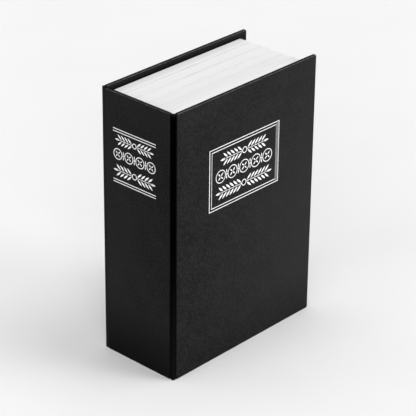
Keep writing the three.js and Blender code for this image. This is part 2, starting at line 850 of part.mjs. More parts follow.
// The lid and its lock
const lid = new THREE.Group();
lid.add(
  named("lid_plate", lidPlate(), "boxPaint"),
  named("hinge_leaf_lid", hingeLeaf(1, lidLeafX, [pinX, lidLeafX[0]], lidLeafY, lidRivetX), "steel"),
  named("lock_escutcheon", lockEscutcheon(), "lockCase"),
  named("lock_housing", lockHousing(), "lockCase"),
  named("detent_spring", detentSpring(), "steel"),
);
rivetZ.forEach((z, i) => {
  const made = rivet(lidRivetX, z, [lidLeafY[0], lidInnerFace]);
  lid.add(named(`hinge_rivet_lid_${i + 1}`, made, "steel"));
});
screwPlaces.forEach((place, i) => {
  lid.add(named(`lock_screw_${i + 1}`, lockScrew(place), "steel"));
});

// The dials, which turn on the bolt's axis
dialX.forEach((x, i) => {
  const dial = new THREE.Group();
  dial.position.set(x, dialAxisY, middleZ);
  dial.add(named(`number_dial_${i + 1}`, numberDial(), "dials"));
  dial.add(named(`dial_sleeve_${i + 1}`, dialSleeve(), "brass"));
  lid.add(dial);
});

// The bolt and what slides with it
const bolt = new THREE.Group();
bolt.position.set(0, dialAxisY, middleZ);
bolt.add(
  named("lock_bolt", lockBolt(), "steel"),
  named("slide_carrier", slideCarrier(), "brass"),
  named("carrier_pin", carrierPin(), "steel"),
  named("thumb_slide", thumbSlide(), "lockCase"),
);
lid.add(bolt);

const bookSafe = new THREE.Group();
bookSafe.add(bookCase, frontCover, lid);

export default bookSafe;
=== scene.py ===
# %% [markdown]
# A book safe, dressed in Blender
#
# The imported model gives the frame: every solid of the safe, where it sits and what it
# turns with. This lesson builds the covering, the leaves, the foil and the lock in finer
# shapes round that frame, and gives every surface a material made of nodes.

# %% Load the frame
import math
import random

import bmesh
import bpy
from mathutils import Matrix, Vector


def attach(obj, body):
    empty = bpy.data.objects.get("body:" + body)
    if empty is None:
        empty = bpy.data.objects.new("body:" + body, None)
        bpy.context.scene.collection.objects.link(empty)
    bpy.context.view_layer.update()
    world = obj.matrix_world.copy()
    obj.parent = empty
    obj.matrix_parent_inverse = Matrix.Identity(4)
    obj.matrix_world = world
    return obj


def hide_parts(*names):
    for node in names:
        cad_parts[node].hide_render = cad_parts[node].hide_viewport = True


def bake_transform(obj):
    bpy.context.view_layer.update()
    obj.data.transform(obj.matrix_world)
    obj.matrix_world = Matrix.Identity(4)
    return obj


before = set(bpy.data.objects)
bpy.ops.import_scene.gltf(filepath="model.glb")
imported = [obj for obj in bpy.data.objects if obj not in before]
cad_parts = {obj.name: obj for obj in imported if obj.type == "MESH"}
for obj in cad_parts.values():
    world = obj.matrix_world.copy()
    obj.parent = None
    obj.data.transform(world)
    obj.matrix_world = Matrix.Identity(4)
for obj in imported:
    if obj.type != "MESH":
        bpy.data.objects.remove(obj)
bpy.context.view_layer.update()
MM = 0.001  # Blender works in metres, and the book is measured in millimetres
X, Y, Z = 0, 1, 2
print("solids in the frame:", len(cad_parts))

# %% [markdown]
# The camera
#
# The book was photographed from a little above, with a long lens, so its upright edges
# stay almost parallel. The angles come from the vanishing of the board edges. A long
# lens a good way off gives the same calm perspective.


# %% Camera
def toward(azimuth, elevation):
    """The way from the book to a place at these angles, in degrees. Azimuth 0 faces the
    front cover, and -90 faces the spine."""
    azimuth, elevation = math.radians(azimuth), math.radians(elevation)
    return Vector(
        (
            math.sin(azimuth) * math.cos(elevation),
            -math.cos(azimuth) * math.cos(elevation),
            math.sin(elevation),
        )
    )


def add_object(name, data):
    made = bpy.data.objects.new(name, data)
    bpy.context.scene.collection.objects.link(made)
    return made


AIM = Vector((0.68, 1.6, 80.4)) * MM
DISTANCE = 1178.4 * MM
ROLL = math.radians(0.65)

backward = toward(-47.32, 27.19)
level_right = Vector((0, 0, 1)).cross(backward).normalized()
level_up = backward.cross(level_right)
right = level_right * math.cos(ROLL) + level_up * math.sin(ROLL)
up = level_up * math.cos(ROLL) - level_right * math.sin(ROLL)

lens = bpy.data.cameras.new("long_lens")
lens.sensor_width = 36
lens.lens = 172
lens.clip_start, lens.clip_end = 0.05, 20
camera = add_object("camera", lens)
camera.matrix_world = Matrix.Translation(AIM + backward * DISTANCE) @ (
    Matrix((right, up, backward)).transposed().to_4x4()
)
bpy.context.scene.camera = camera
print("camera stands at", [round(c, 3) for c in camera.matrix_world.translation])

# %% [markdown]
# Shader effects that several finishes share
#
# Paper, paint and metal all need fine grain, worn arrises with a painted highlight, and a
# little dust, each at its own scale. A node group is built once for each effect and placed
# in a material with that material's own values.


# %% Node helpers
def wire(tree, source, target):
    """Links one socket to another, or sets a plain value on it."""
    if isinstance(source, bpy.types.NodeSocket):
        tree.links.new(source, target)
    else:
        target.default_value = source


def calculate(tree, kind, operation, *values):
    node = tree.nodes.new(kind)
    node.operation = operation
    for socket, value in zip(node.inputs, values):
        wire(tree, value, socket)
    return node


def math_node(tree, operation, *values, clamp=False):
    node = calculate(tree, "ShaderNodeMath", operation, *values)
    node.use_clamp = clamp
    return node.outputs[0]


def product(tree, *factors, clamp=False):
    total = factors[0]
    for factor in factors[1:]:
        total = math_node(tree, "MULTIPLY", total, factor, clamp=clamp)
    return total


VECTORS = {"Position", "Middle", "Half", "Stretch"}


def new_group(name, inputs, outputs):
    """A node group for numbers and the named vectors. Gives the group, the sockets that
    bring its inputs and the sockets that take its results."""
    group = bpy.data.node_groups.new(name, "ShaderNodeTree")
    for in_out, labels in (("INPUT", inputs), ("OUTPUT", outputs)):
        for label in labels:
            kind = "NodeSocketVector" if label in VECTORS else "NodeSocketFloat"
            group.interface.new_socket(label, in_out=in_out, socket_type=kind)
    given = group.nodes.new("NodeGroupInput").outputs
    return group, given, group.nodes.new("NodeGroupOutput").inputs


def noise(tree, position, scale, detail=2, roughness=0.5, stretch=None):
    """Noise over a position in metres. stretch scales the axes before it."""
    if stretch is not None:
        mapping = tree.nodes.new("ShaderNodeMapping")
        wire(tree, position, mapping.inputs["Vector"])
        wire(tree, stretch, mapping.inputs["Scale"])
        position = mapping.outputs[0]
    node = tree.nodes.new("ShaderNodeTexNoise")
    wire(tree, position, node.inputs["Vector"])
    wire(tree, scale, node.inputs["Scale"])
    wire(tree, detail, node.inputs["Detail"])
    wire(tree, roughness, node.inputs["Roughness"])
    return node.outputs["Fac"]


# %% Grain: a fine height and a slow mottle with flecks in it
tree, given, result = new_group("grain", ["Position", "Fine", "Slow"], ["Height", "Mottle"])
position, fine_scale = given["Position"], given["Fine"]
fine = noise(tree, position, fine_scale, 3, 0.6)
coarse = noise(tree, position, product(tree, fine_scale, 0.35))
wire(tree, math_node(tree, "ADD", fine, coarse), result["Height"])
slow = product(tree, noise(tree, position, given["Slow"], 3), 0.35)
flecks = noise(tree, position, product(tree, fine_scale, 0.25), 3)
mottle = math_node(tree, "ADD", slow, product(tree, flecks, 1.15))
wire(tree, math_node(tree, "SUBTRACT", mottle, 0.25), result["Mottle"])
grain_group = tree
print("group:", grain_group.name)


# %% Rubbed arris with a painted highlight: how near a point is to the edges of a box
def vector_math(tree, operation, *values):
    return calculate(tree, "ShaderNodeVectorMath", operation, *values).outputs[0]


def axes(tree, position):
    split = tree.nodes.new("ShaderNodeSeparateXYZ")
    wire(tree, position, split.inputs[0])
    return split.outputs


tree, given, result = new_group(
    "rubbed_and_highlit_arris", ["Position", "Middle", "Half", "Reach"], ["Mask"]
)
offset = vector_math(tree, "SUBTRACT", given["Position"], given["Middle"])
offset = vector_math(tree, "ABSOLUTE", offset)
x, y, z = axes(tree, vector_math(tree, "SUBTRACT", given["Half"], offset))
# the second smallest of the three distances is the distance to the nearest edge
smaller, larger = math_node(tree, "MINIMUM", x, y), math_node(tree, "MAXIMUM", x, y)
second = math_node(tree, "MAXIMUM", smaller, math_node(tree, "MINIMUM", larger, z))
share = math_node(tree, "DIVIDE", second, given["Reach"])
near = math_node(tree, "SUBTRACT", 1.0, share, clamp=True)
patches = noise(tree, given["Position"], 420, 3, 0.6)
broken = product(tree, math_node(tree, "SUBTRACT", patches, 0.25), 3.0, clamp=True)
wire(tree, product(tree, near, broken, clamp=True), result["Mask"])
rub_and_highlight_group = tree
print("group:", rub_and_highlight_group.name)

# %% Dust: a sparse pale bloom
tree, given, result = new_group("dust", ["Position", "Amount"], ["Mask"])
specks = noise(tree, given["Position"], 1500, 2, 0.7)
drifts = noise(tree, given["Position"], 35, 2)
thin = math_node(tree, "GREATER_THAN", specks, 0.68)
bloom = product(tree, thin, drifts, given["Amount"], clamp=True)
wire(tree, bloom, result["Mask"])
dust_group = tree
print("group:", dust_group.name)

# %% Brushing: streaks along one axis
tree, given, result = new_group("brushing", ["Position", "Stretch"], ["Height"])
streaks = noise(tree, given["Position"], 1.0, 3, 0.6, stretch=given["Stretch"])
wire(tree, streaks, result["Height"])
brush_group = tree
print("group:", brush_group.name)

# %% [markdown]
# Materials
#
# Each finish starts from the same recipe: a Principled shader, a colour that wanders
# between two close values, a roughness that follows the grain, and a bump. What differs
# is the scale and the strength of each.


# %% Material helpers
def new_material(name):
    material = bpy.data.materials.new(name)
    material.use_nodes = True
    tree = material.node_tree
    return material, tree, tree.nodes["Principled BSDF"]


def object_position(tree):
    return tree.nodes.new("ShaderNodeTexCoord").outputs["Object"]


def place_group(tree, group, position, **values):
    """Places a node group in a material and gives the group's outputs."""
    node = tree.nodes.new("ShaderNodeGroup")
    node.node_tree = group
    wire(tree, position, node.inputs["Position"])
    for label, value in values.items():
        wire(tree, value, node.inputs[label])
    return node.outputs


def mix_colours(tree, factor, first, second):
    """A colour is a socket, three numbers, or one number for a grey."""
    node = tree.nodes.new("ShaderNodeMix")
    node.data_type = "RGBA"
    wire(tree, factor, node.inputs[0])
    for socket, colour in ((node.inputs[6], first), (node.inputs[7], second)):
        if isinstance(colour, float):
            colour = (colour,) * 3
        wire(tree, (*colour, 1) if isinstance(colour, tuple) else colour, socket)
    return node.outputs[2]


def paint_over(tree, shader, factor, colour):
    """Mixes a colour over the one that already feeds the shader."""
    base = shader.inputs["Base Color"]
    wire(tree, mix_colours(tree, factor, base.links[0].from_socket, colour), base)


def map_range(tree, value, start, end, low, high):
    node = tree.nodes.new("ShaderNodeMapRange")
    for socket, number in zip(node.inputs, (value, start, end, low, high)):
        wire(tree, number, socket)
    return node.outputs[0]


def between(tree, value, low, high):
    """Noise seldom leaves 0.3 to 0.7, so that part is spread over low to high."""
    return map_range(tree, value, 0.3, 0.7, low, high)


def bump(tree, shader, height, distance):
    """distance is how high the relief stands, in millimetres."""
    node = tree.nodes.new("ShaderNodeBump")
    wire(tree, distance * MM, node.inputs["Distance"])
    wire(tree, 1.0, node.inputs["Strength"])
    wire(tree, height, node.inputs["Height"])
    wire(tree, node.outputs[0], shader.inputs["Normal"])


def mottled(tree, shader, mottle, dark, light):
    colour = mix_colours(tree, between(tree, mottle, 0, 1), dark, light)
    wire(tree, colour, shader.inputs["Base Color"])


DUST_GREY = (0.55, 0.54, 0.52)


def grained(name, dark, light, roughness, fine, slow, relief, dusty=0.0):
    """A finish with grain, mottle and, where dusty is above 0, a little dust."""
    material, tree, shader = new_material(name)
    position = object_position(tree)
    grain = place_group(tree, grain_group, position, Fine=fine, Slow=slow)
    mottled(tree, shader, grain["Mottle"], dark, light)
    if dusty:
        dust = place_group(tree, dust_group, position, Amount=dusty)
        paint_over(tree, shader, dust["Mask"], DUST_GREY)
    spread = between(tree, grain["Mottle"], roughness - 0.05, roughness + 0.05)
    wire(tree, spread, shader.inputs["Roughness"])
    bump(tree, shader, grain["Height"], relief)
    return material, tree, shader


# %% [markdown]
# The black covering paper
#
# The boards are covered in a black paper with a very fine leather grain. It is almost
# matt and it mottles slowly. It goes grey at the arrises, partly where hands rub them and
# partly as a painted highlight. Painted light makes it lighter towards the fore-edge and
# the head, and painted shade makes it darker near the foot. In the joints, on the head and
# beside the leaves, painted shade keeps it near black. Ramps along the axes place these
# changes, in millimetres of the real book. Each board gets its own copy, because the
# rubbing follows that board's free edges.


# %% Places on the book, as ramps along the axes
def ramp(tree, value, start, end, low, high):
    """A value in metres, ramped between two places given in millimetres."""
    return map_range(tree, value, start * MM, end * MM, low, high)


def largest(tree, *values):
    most = values[0]
    for value in values[1:]:
        most = math_node(tree, "MAXIMUM", most, value)
    return most


def untouched_places(tree, position, foot):
    """1 where painted shade turns the paper near black: in the joints, on the boards' top
    faces, beside the leaves and towards the foot.
    """
    x, y, z = axes(tree, position)
    across = math_node(tree, "ABSOLUTE", y)
    # painted shade in the joint's creases
    shade_in_the_joint = product(
        tree, ramp(tree, x, -57.4, -57.0, 1, 0), ramp(tree, across, 25.1, 25.4, 0, 1)
    )
    # painted shade on the boards' top faces
    shade_on_the_head = ramp(tree, z, 169.82, 169.95, 0, 0.8)
    # painted shade beside the pages' head
    shade_beside_the_leaves = product(
        tree,
        ramp(tree, across, 26.2, 26.3, 0, 1),
        ramp(tree, across, 26.5, 26.8, 1, 0),
        ramp(tree, z, 166.5, 169.0, 0.9, 0.1),
    )
    # painted shade towards the foot
    shade_at_the_foot = ramp(tree, z, *foot)
    return largest(tree, shade_in_the_joint, shade_on_the_head, shade_beside_the_leaves, shade_at_the_foot)


def fading(tree, position, axis, start, end, amount):
    """Painted light: more towards the free edges and the head, and less near the foot."""
    places = axes(tree, position)
    height = places[Z]
    sideways = product(
        tree,
        ramp(tree, places[axis], start, end, 0, amount),
        ramp(tree, height, 0, 30, 0.35, 1),
        ramp(tree, height, 80, 160, 1, 0.65),
    )
    return largest(tree, sideways, ramp(tree, height, 140, 164, 0, 0.2))


# %% Covering papers
# the mottle runs between the first two; the third is painted light, and the fourth is the
# grey of rubbed arrises with a painted highlight on them
NEW_BLACK, PALE_BLACK = 0.0008, (0.0128, 0.0127, 0.0125)
PAINTED_LIGHT_BLACK, RUBBED_AND_HIGHLIT_GREY = (0.0215, 0.0213, 0.0209), (0.15, 0.148, 0.143)


def covering_paper(
    name, low, high, painted_light, foot, painted_shade_black=0.0011, specular=0.07, paler_foot_and_head_highlight=None
):
    """low and high are the corners of the box whose edges are rubbed and painted with a
    highlight. The last argument, where given, is what the painted shade's black pales to
    towards the foot, and is a painted highlight at the very head."""
    material, tree, shader = grained(
        name, NEW_BLACK, PALE_BLACK, 0.62, 3000, 75, 0.06, dusty=0.03
    )
    position = object_position(tree)
    low, high = Vector(low) * MM, Vector(high) * MM
    middle, half = (low + high) / 2, (high - low) / 2
    rub_and_highlight = place_group(tree, rub_and_highlight_group, position, Middle=middle, Half=half, Reach=0.0006)
    # painted light towards the fore-edge and the head
    paint_over(tree, shader, fading(tree, position, *painted_light), PAINTED_LIGHT_BLACK)
    # arrises rubbed grey, with a painted highlight on them
    paint_over(tree, shader, rub_and_highlight["Mask"], RUBBED_AND_HIGHLIT_GREY)
    # the painted shade pales towards the foot, and at the very head a painted highlight
    # lies on it
    if paler_foot_and_head_highlight:
        height = axes(tree, position)[Z]
        foot_and_head = largest(
            tree, ramp(tree, height, 0, 88, 1, 0), ramp(tree, height, 168.6, 169.5, 0, 1)
        )
        painted_shade_black = mix_colours(tree, foot_and_head, painted_shade_black, paler_foot_and_head_highlight)
    # painted shade: near black in the joints, on the boards' top faces, beside the leaves
    # and at the foot
    paint_over(tree, shader, untouched_places(tree, position, foot), painted_shade_black)
    wire(tree, specular, shader.inputs["Specular IOR Level"])
    return material


# each is an axis, where the painted light starts and ends along it, and how much there is
COVER_PAINTED_LIGHT, SPINE_PAINTED_LIGHT = (X, -57, 60, 0.55), (Y, -25, 25, 0.30)
# each is a ramp of painted shade up the foot: where it starts and ends, and how dark it is
# at both
COVER_FOOT_SHADE, SPINE_FOOT_SHADE = (0, 30, 0.22, 0), (5, 38, 1, 0.12)
# the edges beside the joints get neither rubbing nor a painted highlight, so the rubbed
# boxes run past them, and the joints' own box lies clear of the book all round
CLEAR_OF_BOOK = (-70, -40, -10), (70, 40, 180)
# the front joint's paper is painted near black, as painted shade in its creases, and the
# back one's is painted a little lighter
papers = {
    place: covering_paper(f"covering_paper_{place}", *values)
    for place, *values in (
        ("front", (-70, -28.47, 0), (60, -26.4, 170), COVER_PAINTED_LIGHT, COVER_FOOT_SHADE),
        ("back", (-70, 26.4, 0), (60, 28.5, 170), COVER_PAINTED_LIGHT, COVER_FOOT_SHADE),
        ("spine", (-59.97, -40, 0), (-57.9, 40, 170), SPINE_PAINTED_LIGHT, SPINE_FOOT_SHADE),
        # the last number is what the front joint's painted shade pales to at the foot, and
        # a painted highlight at the head
        ("front_joint", *CLEAR_OF_BOOK, COVER_PAINTED_LIGHT, COVER_FOOT_SHADE, 0.0002, 0.003, 0.0048),
        ("back_joint", *CLEAR_OF_BOOK, COVER_PAINTED_LIGHT, COVER_FOOT_SHADE, 0.011, 0.05),
    )
}
print("covering papers:", *papers)

# %% [markdown]
# The pages
#
# The page edges are white but not even. Fine lines run along the leaves. Painted light
# makes the leaves at the front the whitest, painted shade greys those beside the back
# cover, and painted shade darkens the lines where two sections meet. Noise that is
# stretched along the leaves draws the lines, and ramps across the block do the rest.

# %% Page paper
FIRST_FOLD, FOLD_PITCH = -25.95, 8.733
page_paper, tree, shader = grained(
    "page_paper", (0.800, 0.800, 0.799), (0.832, 0.832, 0.831), 0.9, 3000, 60, 0.01
)
position = object_position(tree)
along, across, _ = axes(tree, position)
# the leaves lie across Y, so the lines change fast along Y and hardly along X and Z
leaf_lines = noise(tree, position, 1.0, 5, 0.62, stretch=(4.0, 260.0, 4.0))
paint_over(tree, shader, between(tree, leaf_lines, 1, 0), (0.786, 0.786, 0.784))
# painted light: the leaves at the front are the whitest
painted_light_at_front = product(
    tree, ramp(tree, across, -19.5, -13.5, 1, 0), ramp(tree, along, 42, 54, 1, 0)
)
paint_over(tree, shader, painted_light_at_front, (0.955, 0.955, 0.953))
# painted shade: the leaves beside the back cover are grey
painted_shade_at_back = ramp(tree, across, 18.5, 24.5, 0, 0.36)
paint_over(tree, shader, painted_shade_at_back, (0.42, 0.42, 0.418))
# painted shade in patchy lines where two sections meet, stronger towards the back
# counted in sections, a point's distance to the nearest fold is at most a half
past_first = math_node(tree, "ADD", across, -FIRST_FOLD * MM)
sections = math_node(tree, "DIVIDE", past_first, FOLD_PITCH * MM)
to_fold = math_node(tree, "PINGPONG", sections, 0.5)
patchy = noise(tree, position, 1.0, 3, 0.6, stretch=(25.0, 90.0, 4.0))
painted_shade_at_folds = product(
    tree,
    map_range(tree, to_fold, 0.04, 0.1, 1, 0),
    between(tree, patchy, 0, 0.6),
    ramp(tree, across, 0, 8, 0.7, 1.6),
)
paint_over(tree, shader, painted_shade_at_folds, (0.64, 0.64, 0.635))
print("page paper:", len(tree.nodes), "nodes")

# %% [markdown]
# The other finishes
#
# Inside the covers are charcoal endpapers over grey binder's board, and a woven lining
# runs down the spine. The box is powder coated, the lock is plastic, zinc and brass, and
# the hinge is plated steel. All of them start from the grained recipe, or from a brushed
# one whose streaks run the way each piece was rolled or turned.

# %% Paper, board and cloth inside the book
endpaper_paper, _, _ = grained(
    "endpaper_charcoal", (0.014, 0.014, 0.0145), (0.022, 0.022, 0.0225), 0.85, 1500, 45,
    relief=0.03,
)
binders_board, _, _ = grained(
    "binders_board", (0.22, 0.19, 0.15), (0.30, 0.26, 0.21), 0.95, 900, 120, 0.08
)
lining_cloth, tree, shader = grained(
    "lining_cloth", (0.52, 0.47, 0.38), (0.62, 0.57, 0.47), 0.95, 900, 60, 0.02
)
threads = tree.nodes.new("ShaderNodeTexChecker")
wire(tree, object_position(tree), threads.inputs["Vector"])
wire(tree, 1400, threads.inputs["Scale"])
bump(tree, shader, threads.outputs["Fac"], 0.08)
print("papers:", endpaper_paper.name, binders_board.name, lining_cloth.name)

# %% Paint and plastic of the box and the lock
box_enamel, _, _ = grained(
    "powder_coat", (0.0115, 0.012, 0.0125), (0.0145, 0.015, 0.0155), 0.42, 1100, 40,
    relief=0.05, dusty=0.04,
)
lock_plastic, _, _ = grained(
    "moulded_plastic", (0.012, 0.012, 0.013), (0.018, 0.018, 0.019), 0.5, 2000, 50, 0.015
)
dial_plastic, _, _ = grained(
    "dial_plastic", (0.011, 0.011, 0.012), (0.017, 0.017, 0.018), 0.3, 2500, 60, 0.004
)
number_paint, _, _ = grained(
    "number_paint", (0.78, 0.78, 0.76), (0.86, 0.86, 0.84), 0.45, 3000, 90, 0.004
)
print("paint and plastic:", box_enamel.name, lock_plastic.name, dial_plastic.name)


# %% Metals
def brushed(name, dark, light, roughness, stretch, relief):
    """The streaks run along the axis that is stretched least."""
    material, tree, shader = new_material(name)
    position = object_position(tree)
    streaks = place_group(tree, brush_group, position, Stretch=stretch)["Height"]
    mottle = place_group(tree, grain_group, position, Fine=1200, Slow=120)["Mottle"]
    mottled(tree, shader, mottle, dark, light)
    spread = between(tree, streaks, roughness - 0.08, roughness + 0.08)
    wire(tree, spread, shader.inputs["Roughness"])
    wire(tree, 1.0, shader.inputs["Metallic"])
    bump(tree, shader, streaks, relief)
    return material


hinge_steel = brushed(
    "zinc_plated_steel", (0.55, 0.56, 0.58), (0.62, 0.63, 0.65), 0.32, (2500, 2500, 60),
    relief=0.01,
)
satin_zinc = brushed(
    "satin_zinc", (0.46, 0.46, 0.47), (0.56, 0.56, 0.57), 0.28, (60, 2500, 2500), 0.008
)
brass = brushed(
    "turned_brass", (0.62, 0.44, 0.20), (0.74, 0.55, 0.27), 0.3, (2500, 60, 60), 0.008
)
spring_steel = brushed(
    "spring_steel", (0.40, 0.41, 0.43), (0.52, 0.53, 0.55), 0.3, (60, 2500, 60), 0.006
)
print("metals:", hinge_steel.name, satin_zinc.name, brass.name, spring_steel.name)


# %% Foil, pitted where it didn't take
def foil_finish(name, dull, bright, roughness):
    material, tree, shader = grained(name, dull, bright, roughness, 2600, 220, 0.006)
    pits = noise(tree, object_position(tree), 2400, 2, 0.7)
    bare = math_node(tree, "GREATER_THAN", pits, 0.72)
    paint_over(tree, shader, bare, 0.25)
    return material


white_foil = foil_finish("white_foil", 0.76, 0.86, 0.38)
grey_foil = foil_finish("grey_foil", 0.115, 0.15, 0.5)
print("foils:", white_foil.name, grey_foil.name)

# %% [markdown]
# Modelling helpers
#
# Everything is drawn in millimetres with bmesh operators and scaled as it is placed. A
# box is made between two values on each axis, an arris is rounded with the bevel
# operator, and a finished mesh becomes a piece that rides on one body of the frame.


# %% Boxes, sheets, arrises and walls
def block(bm, x, y, z):
    """A box between two values on each axis."""
    middle = Vector([(a + b) / 2 for a, b in (x, y, z)])
    size = [b - a for a, b in (x, y, z)]
    place = Matrix.LocRotScale(middle, None, size)
    return bmesh.ops.create_cube(bm, size=1, matrix=place)["verts"]


def edges_of(verts):
    return list(dict.fromkeys(edge for vert in verts for edge in vert.link_edges))


def edges_among(bm, verts):
    return [edge for edge in bm.edges if all(vert in verts for vert in edge.verts)]


def edges_along(bm, axis):
    found = []
    for edge in bm.edges:
        run = edge.verts[1].co - edge.verts[0].co
        if abs(run[axis]) > 0.999 * run.length:
            found.append(edge)
    return found


def sharp_edges(bm):
    return [edge for edge in bm.edges if edge.calc_face_angle(0) > math.radians(40)]


def round_off(bm, parts, radius, segments=3, affect="EDGES"):
    return bmesh.ops.bevel(
        bm, geom=parts, offset=radius, offset_type="OFFSET", segments=segments,
        profile=0.5, affect=affect, clamp_overlap=True, material=-1,
    )["verts"]


def rectangle(bm, place):
    """A flat square with sides of 1, stretched and turned to its place."""
    made = bmesh.ops.create_grid(bm, x_segments=1, y_segments=1, size=0.5, matrix=place)
    return made["verts"]


def spin(bm, geom, centre, axis, degrees, steps):
    """Draws points and edges round an axis, and gives the last of what it makes. Where
    it comes full circle, the last joins the first."""
    return bmesh.ops.spin(
        bm, geom=geom, cent=centre, axis=axis, angle=math.radians(degrees), steps=steps,
        use_merge=degrees == 360, use_duplicate=False,
    )["geom_last"]


def shift(bm, geom, step):
    """Moves the vertices of what an extrusion has made, and gives them."""
    verts = [part for part in geom if isinstance(part, bmesh.types.BMVert)]
    bmesh.ops.translate(bm, verts=verts, vec=step)
    return verts


def draw_wall(bm, edges, step):
    """Draws a line of edges out into a wall, and gives its far vertices."""
    return shift(bm, bmesh.ops.extrude_edge_only(bm, edges=edges)["geom"], step)


def thicken(bm, faces, step):
    """Draws flat faces out by a step, and keeps the ones that they start from."""
    raised = bmesh.ops.extrude_face_region(bm, geom=faces, use_keep_orig=True)["geom"]
    return shift(bm, raised, step)


# %% Pieces and their modifiers
def even_shading(piece):
    """Lets the large flat faces set the normals, so that the arrises alone turn."""
    weighted = piece.modifiers.new("even_shading", "WEIGHTED_NORMAL")
    weighted.weight = 100
    weighted.keep_sharp = True


def make_piece(
    name, bm, material, body, node=None, flat=40, place=Matrix()
):
    """Turns a bmesh drawn in millimetres into a piece that rides on a body.
    With no body, the piece is not attached to any."""
    bmesh.ops.recalc_face_normals(bm, faces=bm.faces)
    bm.transform(Matrix.Scale(MM, 4) @ place)
    if place.determinant() < 0:
        bmesh.ops.reverse_faces(bm, faces=bm.faces)
    mesh = bpy.data.meshes.new(name)
    bm.to_mesh(mesh)
    bm.free()
    mesh.materials.append(material)
    mesh.shade_smooth()
    mesh.set_sharp_from_angle(angle=math.radians(flat))
    piece = add_object(name, mesh)
    even_shading(piece)
    if body:
        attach(piece, body)
    if node:
        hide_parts(node)
    print(f"{name}: {len(mesh.polygons)} faces on {body}")
    return piece


def before_shading(piece):
    """Moves the newest modifier in front of the one that evens the shading."""
    piece.modifiers.move(len(piece.modifiers) - 1, len(piece.modifiers) - 2)


def add_thickness(piece, thickness, even=True):
    """A sheet's thickness, inwards from the face that was drawn."""
    solid = piece.modifiers.new("sheet", "SOLIDIFY")
    solid.thickness = thickness * MM
    solid.offset = -1
    solid.use_even_offset = even
    before_shading(piece)


def add_bevel(piece, width, segments=2, degrees=40):
    rounded = piece.modifiers.new("arris", "BEVEL")
    rounded.width = width * MM
    rounded.segments = segments
    rounded.limit_method = "ANGLE"
    rounded.angle_limit = math.radians(degrees)
    before_shading(piece)


# %% [markdown]
# Covered boards
#
# A case binding is three boards in one sheet of covering, turned in over the inner face.
# Each board is a box with softly rounded corners and arrises. Four cuts mark the turn-in
# on the inner face, the middle is left open, and the sheet gets its real thickness.

# %% Front cover, back cover and spine
BOARD_CORNER = 1.3
BOARD_ARRIS = 0.5
TURN_IN = 12
PAPER = 0.3
FRONT_BOX = ((-57.8, -28.47, 0), (60, -26.4, 170))
BACK_BOX = ((-57.8, 26.4, 0), (60, 28.5, 170))
SPINE_BOX = ((-59.97, -25.5, 0), (-57.9, 25.5, 170))


def covered_board(board, paper, low, high, axis, inner_side, body):
    bm = bmesh.new()
    block(bm, *zip(low, high))
    round_off(bm, edges_along(bm, axis), BOARD_CORNER, 4)
    round_off(bm, sharp_edges(bm), BOARD_ARRIS, 4)
    face = max(bm.faces, key=lambda f: f.calc_area() * (f.normal[axis] * inner_side > 0.9))
    inner = [face, *face.edges, *face.verts]
    sides = {X, Y, Z} - {axis}
    for side in sides:
        for edge, facing in ((low[side] + TURN_IN, 1), (high[side] - TURN_IN, -1)):
            at, normal = Vector(), Vector()
            at[side], normal[side] = edge, facing
            cut = bmesh.ops.bisect_plane(bm, geom=inner, plane_co=at, plane_no=normal)
            inner = cut["geom"]
    for f in [part for part in inner if isinstance(part, bmesh.types.BMFace)]:
        middle = f.calc_center_median()
        if all(low[side] + TURN_IN < middle[side] < high[side] - TURN_IN for side in sides):
            bmesh.ops.delete(bm, geom=[f], context="FACES")
    piece = make_piece(
        f"{board}_covering", bm, paper, body, f"{board}_wrap"
    )
    add_thickness(piece, PAPER)


covered_board("front_cover", papers["front"], *FRONT_BOX, Y, 1, "front_cover")
covered_board("back_cover", papers["back"], *BACK_BOX, Y, -1, "root")
covered_board("spine", papers["spine"], *SPINE_BOX, X, 1, "root")

# %% [markdown]
# The joints
#
# Between the spine and each cover the covering sinks into a crease, rises over a bead and
# sinks into a second crease. Seen from above that is a line of arcs, so a point is spun
# from one arc to the next, and the line is drawn up the height of the book. At the head
# and the tail the bead is folded shut. The front joint's sheet rides on neither the spine
# nor the front cover.

# %% The bead and its two creases
JOINT_TAIL, JOINT_HEAD = 0.3, 170.0
FOLDED_IN = (1.65, 2.0)  # the inmost point of the fold at the head and the tail


